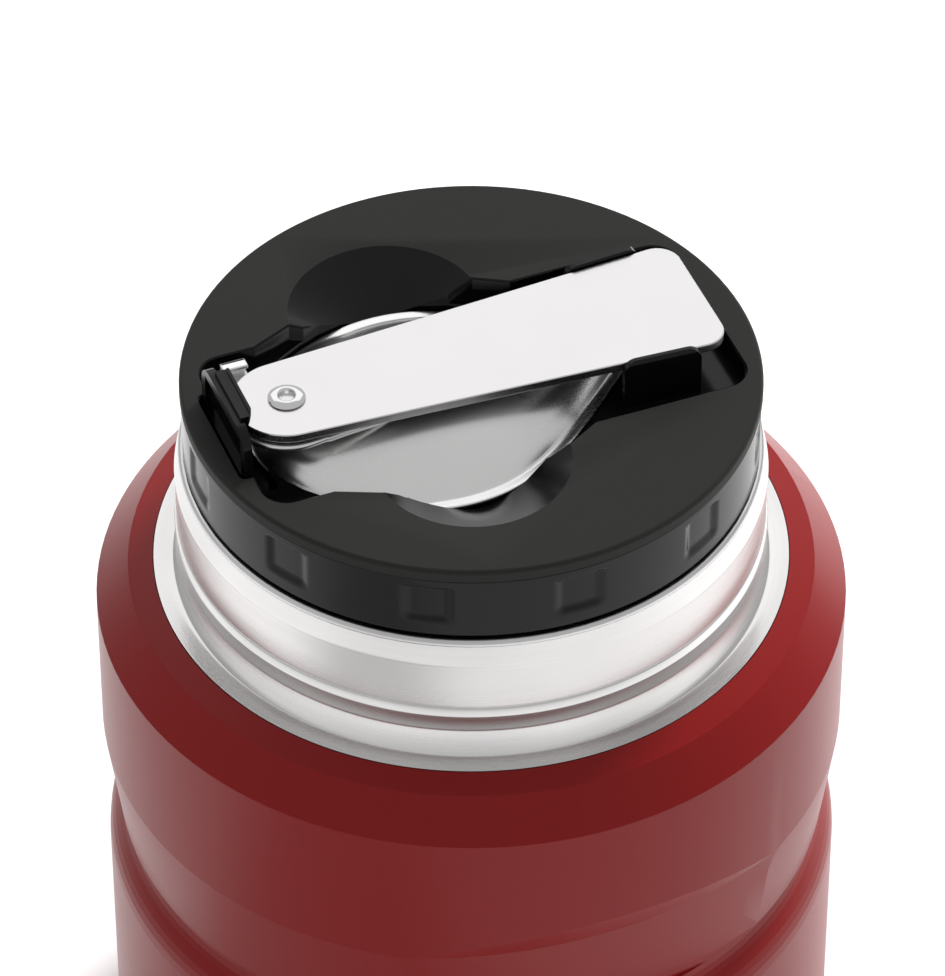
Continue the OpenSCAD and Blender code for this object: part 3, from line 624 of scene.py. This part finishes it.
def skirt_tree():
    group = new_group("grip skirt")
    radius, foot, top, wall_t, grips, width, depth, grip_top, grip_foot, material = inputs(
        group, "Radius", "Foot", "Top", "Wall",
        "Grips", "Grip width", "Grip depth", "Grip top", "Grip foot")
    tree = Tree(group)
    grid = tree.wire("GeometryNodeMeshGrid", None, {
        "Size X": 1.0, "Size Y": 1.0, "Vertices X": COLUMNS, "Vertices Y": ROWS})
    where = tree.node("ShaderNodeSeparateXYZ", None, {0: tree.wire("GeometryNodeInputPosition")})
    around, up = tree.out(where, 0) + 0.5, tree.out(where, 1) + 0.5
    climb = (up / OUTSIDE).least(1.0)
    descent = ((up - OUTSIDE) / INSIDE).most(0.0).least(1.0)
    is_inside = up > OUTSIDE + 0.001
    closing = up > CLOSING
    height = foot + (top - foot) * (climb - descent * (1 - closing)) - (top - foot) * closing
    edge = 0.35 * MM
    to_edge = (height - foot).least(top - height) / edge
    lean = 1 - to_edge.least(1.0)
    rounding = (1 - (1 - lean * lean).root()) * edge
    beside = abs((around * grips + 0.5).fraction() - 0.5) / grips * radius * (2 * math.pi)
    slope = 1.5 * MM
    sides = tree.smooth(width / 2 - beside, 0.0, slope)
    ends = tree.smooth(grip_top - height, 0.0, slope / 4) * tree.smooth(height - grip_foot, 0.0, slope)
    out_r = radius - rounding - depth * sides * ends
    free = is_inside * (1 - closing)
    r = out_r * (1 - free) + (radius - wall_t) * free
    turn = around * (2 * math.pi) - math.pi / 2
    spot = tree.wire("ShaderNodeCombineXYZ", None, {0: turn.cosine() * r, 1: turn.sine() * r, 2: height})
    bent = tree.wire("GeometryNodeSetPosition", None, {"Geometry": grid, "Position": spot})
    closed = tree.wire("GeometryNodeMergeByDistance", None, {"Geometry": bent, "Distance": WELD})
    return end_tree(tree, closed, material)


# %% The skirt
skirt_mesh = grown(skirt_tree(), {
    "Radius": radius_of("stopper_skirt"), "Foot": skirt_z, "Top": top_of("stopper_skirt"),
    "Wall": 1.5 * MM, "Grips": 12.0, "Grip width": 6.9 * MM, "Grip depth": 0.4 * MM,
    "Grip top": deck_z - 2.9 * MM, "Grip foot": deck_z - 8.9 * MM, "Material": gloss_black}, "grip_skirt")
shape = bmesh.new()
shape.from_mesh(skirt_mesh)
bmesh.ops.recalc_face_normals(shape, faces=shape.faces)
shape.to_mesh(skirt_mesh)
shape.free()
place("grip_skirt", skirt_mesh, gloss_black, "stopper", ["stopper_skirt"], sharp=60)
print("skirt:", len(skirt_mesh.polygons), "faces")

# %% [markdown]
# The deck, the tray under it and the latch are moulded flat shapes. Their plans are right in the
# solids, so they are softened copies. The deck's edge round the recess is rounded by only a
# quarter of a millimetre, and it catches the light as a fine bright line. The deck meets the tray
# inside the recess, and there both keep their edges, so that no gap opens along the seam. The
# mould's grain lies on the deck's top only, and its walls in the recess are polished.

# %% The deck, the tray and the latch
seam = foot_of("stopper_deck")
deck = softened("stopper_deck", "deck_plate", matt_black, "stopper",
                edge=0.22 * MM, sharp=40, seam=seam)
deck.data.materials.append(gloss_black)
inside_rim = radius_of("stopper_deck") - 0.5 * MM
for face in deck.data.polygons:
    if face.normal.z < 0.95 and Vector(face.center[:2]).length < inside_rim:
        face.material_index = 1
softened("spoon_tray", "spoon_tray_moulding", gloss_black, "stopper",
         edge=0.15 * MM, sharp=40, seam=seam)
softened("spoon_latch", "latch_tongue", gloss_black, "latch", edge=0.18 * MM, sharp=40)
print("deck:", len(deck.data.polygons), "faces")

# %% [markdown]
# Below the deck come the plug, the disc that closes it and the silicone ring round its foot. They
# are turned shapes with plain walls, so they are softened copies as well.

# %% The plug and its seal
seal_rubber = silicone()
softened("stopper_plug", "plug_wall", plug_black, "stopper", edge=0.15 * MM)
softened("plug_cap", "plug_cap_disc", plug_black, "stopper", edge=0.1 * MM)
softened("mouth_seal", "seal_ring", seal_rubber, "seal", edge=0.25 * MM)

# %% [markdown]
# The spoon's bowl lies back up in the recess. Its rim is an egg shape that is a little pointed
# at both ends. From a narrow flat rim the back rises to a ridge that stays high towards the stem.
# Rings of points follow that rule, outside and inside, and a rolled rim joins the two skins.

# %% The spoon's bowl
bowl_x, bowl_z = rivet_x + 19.9 * MM, foot_of("spoon_bowl")
bowl_a, bowl_b, bowl_h, bowl_t = 24.2 * MM, 17.8 * MM, 4.9 * MM, 0.6 * MM
flange = 1.3 * MM


def egg(turn, inset=0.0):
    """The rim's outline, from the tip at 0 round to the stem at half a turn. The sine's power and
    the two cosine terms draw both ends in, the tip more than the stem's end."""
    c, s = math.cos(turn), abs(math.sin(turn))
    side = math.copysign(s ** (1 + (0.2 + 0.53 * c) * s), math.sin(turn)) * (1 - 0.17 * c - 0.31 * c * c)
    return (bowl_a - inset) * c, (bowl_b - inset) * side


def back_rise(x, y):
    """How far the bowl's back stands above its flat rim, at a point counted from the middle."""
    c = max(-1.0, min(1.0, x / bowl_a))
    flat = flange * max(0.0, min(1.0, (c + 0.75) / 0.5))
    half = abs(egg(math.acos(c))[1]) - flat
    across = min(1.0, abs(y) / half) if half > 0 else 1.0
    ridge = (1 - c ** 2) ** 0.7 if c > 0 else (1 - 0.35 * c * c) * (1 - c ** 12) ** 0.5
    return bowl_h * ridge * (1 - across ** 2.6)


def back_at(x, y):
    return bowl_z + bowl_t + back_rise(x - bowl_x, y)


# %% The two skins of the bowl and the rim between them
AROUND, RINGS, RIM_STEPS = 200, 60, 6


def join_rings(bm, lower, upper):
    for i in range(AROUND):
        k = (i + 1) % AROUND
        bm.faces.new((lower[i], lower[k], upper[k], upper[i]))


def bowl_skin(bm, inset, lift):
    """Rings of points from the rim inwards, and the point in the middle."""
    rows = []
    for j in range(RINGS):
        rho = 1 - j / RINGS
        row = []
        for i in range(AROUND):
            x, y = egg(2 * math.pi * (i + 0.5) / AROUND, inset)
            rise = back_rise(x * rho, y * rho)
            row.append(bm.verts.new((bowl_x + x * rho, y * rho, bowl_z + lift + rise)))
        rows.append(row)
    return rows, bm.verts.new((bowl_x, 0, bowl_z + lift + bowl_h))


def bowl_mesh():
    bm = bmesh.new()
    skins = [bowl_skin(bm, 0, bowl_t), bowl_skin(bm, 0.1 * MM, 0.0)]
    for rows, peak in skins:
        for upper, lower in zip(rows[1:], rows[:-1]):
            join_rings(bm, lower, upper)
        for i in range(AROUND):
            bm.faces.new((rows[-1][i], rows[-1][(i + 1) % AROUND], peak))
    outer, inner = (rows[0] for rows, peak in skins)
    before = outer
    for step in range(1, RIM_STEPS):
        turn = math.pi * step / RIM_STEPS
        row = []
        for a, b in zip(outer, inner):
            middle, half = (a.co + b.co) / 2, (a.co - b.co) / 2
            outward = Vector((a.co.x - bowl_x, a.co.y, 0)).normalized() * 0.25 * MM * math.sin(turn)
            row.append(bm.verts.new(middle + half * math.cos(turn) + outward))
        join_rings(bm, before, row)
        before = row
    join_rings(bm, before, inner)
    return finished(bm, "spoon_bowl_sheet")


bowl = place("spoon_bowl_sheet", bowl_mesh(), bowl_steel, "spoon", ["spoon_bowl"], sharp=60)
print("bowl:", len(bowl.data.polygons), "faces")

# %% [markdown]
# The stem is the same sheet drawn out from the bowl's back and lifted to the rivet. It is a
# strip with a round end. Its height is the greater of a flat plate and the bowl's back, with a
# soft step between the two. Two rules, one for its width and one for its height, are easier to
# tune than a surface drawn by hand.

# %% The stem's width and height
stem_top = foot_of("spoon_washer")
stem_t, stem_r = 0.9 * MM, 7.1 * MM
stem_end = bowl_x - 2 * MM


def soft_most(a, b, ease):
    mix = max(0.0, min(1.0, 0.5 + 0.5 * (a - b) / ease))
    return a * mix + b * (1 - mix) + ease * mix * (1 - mix)


def stem_half(x):
    """Half the width: a round end at the rivet, then a taper towards the bowl."""
    if x <= rivet_x:
        return math.sqrt(max(stem_r**2 - (x - rivet_x)**2, (0.02 * MM)**2))
    return stem_r * (1 - 0.45 * ((x - rivet_x) / (stem_end - rivet_x)) ** 1.2)


def stem_level(x, y):
    """The upper side: flat at the rivet, then down to the bowl's back and at its end into it."""
    share = (x - rivet_x - 3 * MM) / (stem_end - rivet_x - 3 * MM)
    share = max(0.0, min(1.0, share))
    drop = (3 * share**2 - 2 * share**3) * 1.6 * MM
    flat = stem_top - drop - 0.25 * MM * (y / stem_r) ** 2 * (1 if share > 0 else 0)
    return soft_most(flat, back_at(x, y) + 0.02 * MM, 0.5 * MM) - 0.3 * MM * share**6


# %% The spoon's stem
END_STATIONS, STATIONS, RIBS = 16, 64, 20


def stem_mesh():
    bm = bmesh.new()
    xs = [rivet_x - stem_r * math.cos(math.pi / 2 * i / END_STATIONS) for i in range(END_STATIONS + 1)]
    rest = STATIONS - END_STATIONS - 1
    xs += [rivet_x + (stem_end - rivet_x) * (i / rest) for i in range(1, rest + 1)]
    tops, feet = [], []
    for x in xs:
        top, foot = [], []
        for j in range(RIBS + 1):
            turn = math.pi * (j / RIBS - 0.5)
            y, edge = stem_half(x) * math.sin(turn), 1 - math.cos(turn)
            z = stem_level(x, y)
            top.append(bm.verts.new((x, y, z - 0.25 * MM * edge**2)))
            foot.append(bm.verts.new((x, y, z - stem_t + 0.2 * MM * edge**2)))
        tops.append(top)
        feet.append(foot)
    for i in range(len(xs) - 1):
        for j in range(RIBS):
            bm.faces.new((tops[i][j], tops[i + 1][j], tops[i + 1][j + 1], tops[i][j + 1]))
            bm.faces.new((feet[i][j], feet[i][j + 1], feet[i + 1][j + 1], feet[i + 1][j]))
        for j in (0, RIBS):
            bm.faces.new((tops[i][j], feet[i][j], feet[i + 1][j], tops[i + 1][j]))
    for i in (0, len(xs) - 1):
        for j in range(RIBS):
            bm.faces.new((tops[i][j], tops[i][j + 1], feet[i][j + 1], feet[i][j]))
    return finished(bm, "spoon_stem")


stem = place("spoon_stem", stem_mesh(), bowl_steel, "spoon", ["spoon_bowl"], sharp=60)
print("stem:", len(stem.data.polygons), "faces")

# %% [markdown]
# A lug on the stem stops the unfolded handle. It is an ear of the same sheet, bent up beside the
# handle and over its edge, so three small blocks with rounded edges make it.

# %% The stop lug


def block(low, high):
    bm = bmesh.new()
    bmesh.ops.create_cube(bm, size=1.0)
    low, high = Vector(low), Vector(high)
    for vert in bm.verts:
        vert.co = Vector([low[i] + (vert.co[i] + 0.5) * (high[i] - low[i]) for i in range(3)])
    return finished(bm, "block")


near_x, far_x = rivet_x - 5.4 * MM, rivet_x - 2.2 * MM
over_y, out_y = 7.4 * MM, 8.9 * MM
lug_t = 0.6 * MM
for name, low, high in (
        ("stem_ear", (near_x, 3 * MM, stem_top - stem_t), (far_x, out_y, stem_top)),
        ("stop_lug_web", (near_x, out_y - lug_t, stem_top - stem_t), (far_x, out_y, handle_z)),
        ("stop_lug", (near_x, over_y, handle_z - lug_t), (far_x, out_y, handle_z))):
    piece = place(name, block(low, high), bowl_steel, "spoon", ["spoon_bowl"], sharp=40)
    bevel = piece.modifiers.new("rounded edges", "BEVEL")
    bevel.width, bevel.segments = 0.18 * MM, 3

# %% [markdown]
# The handle is a flat stamped blade: a round end at the rivet, straight edges that spread, and a
# square end with round corners. Its outline is worked out from those radii and the lines that
# touch them, so it stays smooth at any size. It is then drawn up to its thickness, and a bevel
# rounds its edges.

# %% The spoon's handle
handle_low, handle_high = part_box("spoon_handle")
end_r, corner_r = rivet_x - handle_low[0], 3 * MM
half_w = handle_high[1]


def handle_mesh():
    cx, cy = handle_high[0] - corner_r, half_w - corner_r
    reach = Vector((cx - rivet_x, cy))
    lean = math.degrees(math.atan2(reach.y, reach.x) + math.acos((end_r - corner_r) / reach.length))
    outline = (arc((rivet_x, 0), end_r, lean, 360 - lean, 64) + arc((cx, -cy), corner_r, -lean, 0, 16)
               + arc((cx, cy), corner_r, 0, lean, 16))
    bm = bmesh.new()
    face = bm.faces.new([bm.verts.new((x, y, handle_low[2])) for x, y in outline])
    made = bmesh.ops.extrude_face_region(bm, geom=[face])
    for item in made["geom"]:
        if isinstance(item, bmesh.types.BMVert):
            item.co.z = handle_high[2]
    return finished(bm, "spoon_handle_blade")


handle = place("spoon_handle_blade", handle_mesh(), handle_steel, "handle", ["spoon_handle"],
               sharp=35)
bevel = handle.modifiers.new("rounded edges", "BEVEL")
bevel.width, bevel.segments, bevel.limit_method = 0.12 * MM, 3, "ANGLE"
bevel.angle_limit = math.radians(50)

# %% [markdown]
# The rivet is a tubular one: its end was rolled outwards over the handle, which leaves a raised
# ring round a hole. The profile starts at the bottom of the hole, goes up over the ring and down
# the pin to the formed head below, and is turned like the neck.

# %% The rivet and its washer
head_r, head_z = radius_of("spoon_rivet"), handle_high[2] + 0.03 * MM
rivet_foot = foot_of("spoon_rivet")
PIN_R = 1.6 * MM


def on_head(*points):
    """Points in mm: how far from the rivet's axis, and how far above the handle."""
    return [(out * MM, head_z + up * MM) for out, up in points]


dish = on_head((0, -0.4), (0.7, -0.35), (0.86, -0.2), (0.95, 0.3), (1.03, 0.48))
crown = bezier(*on_head((1.15, 0.57), (1.35, 0.66), (1.85, 0.55)), (head_r, head_z + 0.18 * MM), 10)
under = [(head_r - 0.12 * MM, head_z + 0.1 * MM), (head_r - 0.5 * MM, head_z), (PIN_R, head_z)]
formed = arc((head_r - 0.3 * MM, rivet_foot + 0.4 * MM), 0.3 * MM, 90, -90, 6)
rivet_profile = (dish + crown + under + [(PIN_R, rivet_foot + 0.7 * MM)] + formed + [(0.0, rivet_foot)])
place("rivet_pin", lathe(rivet_profile, 64, rivet_x), rivet_steel, "spoon", ["spoon_rivet"],
      sharp=50)
softened("spoon_washer", "rivet_washer", bowl_steel, "spoon")
print("rivet profile:", len(rivet_profile), "points")

# %% [markdown]
# What is sealed inside keeps its solid and only gets its finish. The solids that were replaced get
# theirs too, so that the plan shows the same materials as the finished jar.

# %% Finishes for the solids
hidden = {"vacuum_seal": dull_metal, "getter": dull_metal,
          "foil_wrap": crinkled_foil(), "plug_foam": foam()}
shown = {"body_shell": paint, "neck_ring": neck_steel,
         "inner_liner": liner_steel, "outer_base": liner_steel,
         "mouth_seal": seal_rubber, "stopper_plug": plug_black, "plug_cap": plug_black,
         "stopper_skirt": gloss_black, "stopper_deck": matt_black,
         "spoon_tray": gloss_black, "spoon_latch": gloss_black,
         "spoon_bowl": bowl_steel, "spoon_handle": handle_steel,
         "spoon_rivet": rivet_steel, "spoon_washer": bowl_steel}
for node, material in {**hidden, **shown}.items():
    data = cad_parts[node].data
    data.materials.clear()
    data.materials.append(material)
print("solids that keep their shape:", ", ".join(hidden))

# %% [markdown]
# The studio is a plain white table under an even pale surround and two soft lamps. The white table
# lights the jar's walls from below. The key lamp stands behind the jar on the right, so the shadow
# falls away to the left, and it stays out of mirror images so that the steel shows no small square.
# The panel behind the jar is large and no brighter than paper, because the flat handle mirrors it.

# %% The studio


def lamp(name, spot, size, power, aim):
    data = bpy.data.lights.new(name, "AREA")
    data.shape, data.energy = "RECTANGLE", power
    data.size, data.size_y = size
    light = bpy.data.objects.new(name, data)
    light.location = spot
    light.rotation_euler = (Vector(aim) - Vector(spot)).to_track_quat("-Z", "Y").to_euler()
    bpy.context.scene.collection.objects.link(light)
    return light


def around_jar(azimuth, distance, height):
    """A place that far from the axis, with azimuth 0 in front of the panel and 90 at the handle's end."""
    turn = math.radians(azimuth)
    return distance * math.sin(turn), -distance * math.cos(turn), height


def table_finish():
    top = Finish("table_white", Specular_IOR_Level=0.1)
    cloud = top.noise(3.0, 2.0)
    top.shader.inputs["Emission Color"].default_value = (1, 1, 1, 1)
    top.shader.inputs["Emission Strength"].default_value = 0.08
    return top.set(Base_Color=top.blend(cloud, (0.92, 0.92, 0.92), (0.94, 0.94, 0.94)),
                   Roughness=0.7 + cloud * 0.1)


REACH = 4.0
floor_mesh = bpy.data.meshes.new("table")
corners = [(-REACH, -REACH, 0), (REACH, -REACH, 0), (REACH, REACH, 0), (-REACH, REACH, 0)]
floor_mesh.from_pydata(corners, [], [(0, 1, 2, 3)])
floor = bpy.data.objects.new("table", floor_mesh)
bpy.context.scene.collection.objects.link(floor)
floor_mesh.materials.append(table_finish())

# %% The surround and the lamps
world = bpy.data.worlds.new("studio")
bpy.context.scene.world = world
world.use_nodes = True
surround = world.node_tree.nodes["Background"]
surround.inputs["Color"].default_value = (1, 1, 1, 1)
surround.inputs["Strength"].default_value = 0.55
lamp("back panel", around_jar(160, 1.1, 1.05), (1.9, 1.2), 4.5, (0, 0, 0.09))
key = lamp("key", around_jar(124, 0.95, 0.75), (0.3, 0.3), 14.5, (0, 0, 0))
key.visible_glossy = False
print("key lamp at", [round(part, 2) for part in key.location])

# %% [markdown]
# The camera looks down at the front panel from well above and a little from the left. A long lens
# from that distance flattens the jar as a catalogue picture does.

# %% The camera
VIEW_TURN, VIEW_TILT, VIEW_DISTANCE = math.radians(-21.5), math.radians(42.62), 0.8018
FOCAL_PIXELS, IMAGE_HEIGHT = 6474, 976
AIM_BELOW_DECK, AIM_ASIDE = 19.24 * MM, 0.16 * MM
side = Vector((math.cos(VIEW_TURN), math.sin(VIEW_TURN), 0))
target = Vector((0, 0, deck_z - AIM_BELOW_DECK)) + side * AIM_ASIDE
away = Vector((math.sin(VIEW_TURN) * math.cos(VIEW_TILT), -math.cos(VIEW_TURN) * math.cos(VIEW_TILT),
               math.sin(VIEW_TILT)))
camera_data = bpy.data.cameras.new("camera")
camera_data.sensor_width = 36
camera_data.lens = FOCAL_PIXELS / IMAGE_HEIGHT * camera_data.sensor_width
camera_data.clip_start, camera_data.clip_end = 0.05, 20
camera = bpy.data.objects.new("camera", camera_data)
camera.location = target + away * VIEW_DISTANCE
camera.rotation_euler = (-away).to_track_quat("-Z", "Y").to_euler()
bpy.context.scene.collection.objects.link(camera)
bpy.context.scene.camera = camera
bpy.context.scene.view_settings.view_transform = "Standard"
bpy.context.scene.view_settings.look = "None"
